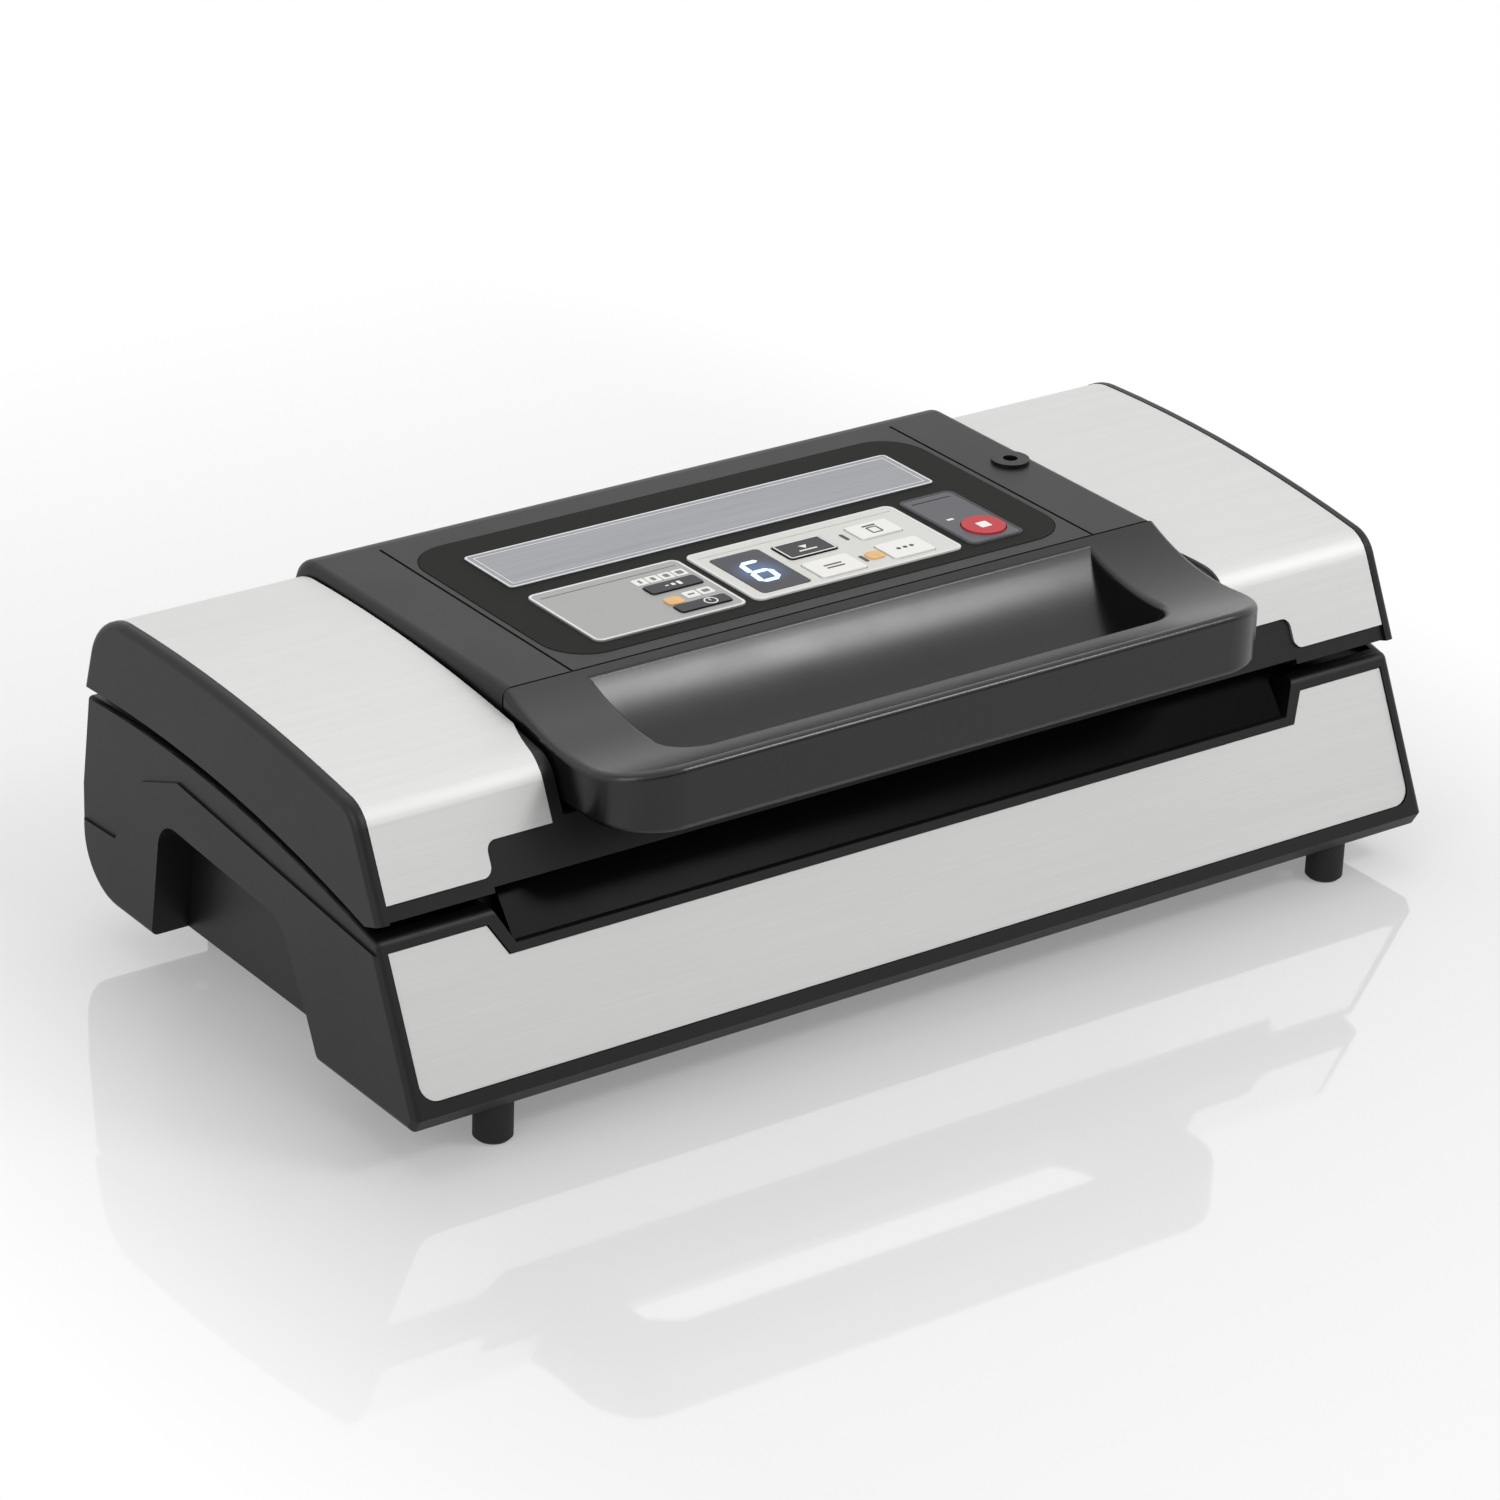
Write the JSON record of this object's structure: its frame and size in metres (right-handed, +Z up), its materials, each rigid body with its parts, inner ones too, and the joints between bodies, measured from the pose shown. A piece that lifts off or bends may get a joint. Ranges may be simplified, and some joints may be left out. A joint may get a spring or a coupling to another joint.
{
  "type": "vacuum sealer",
  "caption": "Low countertop vacuum sealer with steel covers, a raised control console, a hinged lid and a loop handle pressed to latch it.",
  "frame": {"origin": "on the table under the middle of the machine", "axes": "+X right, +Y to the back, +Z up"},
  "size_m": [0.4, 0.201, 0.1189],
  "materials": {
    "black_plastic": "fine matte moulding",
    "satin_plastic": "satin moulding",
    "ledge_plastic": "smooth gloss moulding",
    "brushed_steel": "brushed along the width",
    "rubber": "matte",
    "silicone": "soft matte",
    "inlay": "matte film",
    "silver_trim": "satin",
    "light_plate": "satin",
    "white_plate": "satin",
    "dark_plate": "satin",
    "white_key": "satin",
    "dark_key": "satin",
    "red_key": "gloss",
    "display_glass": "clear dark",
    "amber_lens": "gloss",
    "zinc_steel": "zinc plated",
    "aluminium": "satin",
    "tape": "woven, non-stick",
    "clear_tray": "smooth",
    "laminations": "stacked sheet",
    "copper": "lacquered wire",
    "board": "lacquered",
    "grey_plastic": "moulded"
  },
  "bodies": {
    "base": {"base_housing": "black_plastic", "bag_ledge": "ledge_plastic", "base_plate": "black_plastic", "front_panel": "brushed_steel", "rubber_feet": "rubber", "base_screws": "zinc_steel", "drip_tray": "clear_tray", "lower_gasket": "silicone", "seal_bar": "aluminium", "heating_element": "zinc_steel", "nonstick_tape": "tape", "latch_keepers": "zinc_steel", "hinge_pins": "zinc_steel", "vacuum_nozzle": "grey_plastic", "vacuum_hose": "silicone", "pump_head": "grey_plastic", "pump_motor": "zinc_steel", "transformer_core": "laminations", "transformer_coil": "copper", "power_board": "board", "lid_switch": "grey_plastic", "cord_gland": "rubber"},
    "lid": {"lid_frame": "black_plastic", "left_steel_cover": "brushed_steel", "right_steel_cover": "brushed_steel", "console": "black_plastic", "control_inlay": "inlay", "trim_strip": "silver_trim", "left_plate": "light_plate", "centre_plate": "white_plate", "right_plate": "dark_plate", "display_window": "display_glass", "display_module": "dark_key", "control_board": "board", "tact_switches": "dark_key", "indicator_lamps": "amber_lens", "accessory_port": "black_plastic", "accessory_tube": "silicone", "upper_gasket": "silicone", "pressure_strip": "silicone", "lid_liner": "black_plastic", "lid_screws": "zinc_steel"},
    "handle": {"handle": "satin_plastic", "handle_shaft": "zinc_steel", "latch_hooks": "zinc_steel"},
    "stop_key": {"stop_key": "red_key"},
    "vacuum_key": {"vacuum_key": "dark_key"},
    "seal_key": {"seal_key": "white_key"},
    "canister_key": {"canister_key": "white_key"},
    "marinate_key": {"marinate_key": "white_key"},
    "mode_key": {"mode_key": "dark_key"},
    "time_key": {"time_key": "dark_key"}
  },
  "joints": [
    {"name": "lid_hinge", "type": "hinge", "parent": "base", "child": "lid", "pos_m": [0, 0.0955, 0.08365], "axis": [-1, 0, 0], "range_deg": [0, 75]},
    {"name": "handle_pivot", "type": "hinge", "parent": "lid", "child": "handle", "pos_m": [0, -0.041, 0.098], "axis": [1, 0, 0], "range_deg": [0, 7], "stiffness_Nm_per_rad": 4, "springref_deg": -6.88},
    {"name": "stop_press", "type": "slide", "parent": "lid", "child": "stop_key", "axis": [0, 0, -1], "range_m": [0, 0.0007], "stiffness_N_per_m": 1500, "springref_m": -0.0004},
    {"name": "vacuum_press", "type": "slide", "parent": "lid", "child": "vacuum_key", "axis": [0, 0, -1], "range_m": [0, 0.0007], "stiffness_N_per_m": 1500, "springref_m": -0.0004},
    {"name": "seal_press", "type": "slide", "parent": "lid", "child": "seal_key", "axis": [0, 0, -1], "range_m": [0, 0.0007], "stiffness_N_per_m": 1500, "springref_m": -0.0004},
    {"name": "canister_press", "type": "slide", "parent": "lid", "child": "canister_key", "axis": [0, 0, -1], "range_m": [0, 0.0007], "stiffness_N_per_m": 1500, "springref_m": -0.0004},
    {"name": "marinate_press", "type": "slide", "parent": "lid", "child": "marinate_key", "axis": [0, 0, -1], "range_m": [0, 0.0007], "stiffness_N_per_m": 1500, "springref_m": -0.0004},
    {"name": "mode_press", "type": "slide", "parent": "lid", "child": "mode_key", "axis": [0, 0, -1], "range_m": [0, 0.0007], "stiffness_N_per_m": 1500, "springref_m": -0.0004},
    {"name": "time_press", "type": "slide", "parent": "lid", "child": "time_key", "axis": [0, 0, -1], "range_m": [0, 0.0007], "stiffness_N_per_m": 1500, "springref_m": -0.0004}
  ]
}
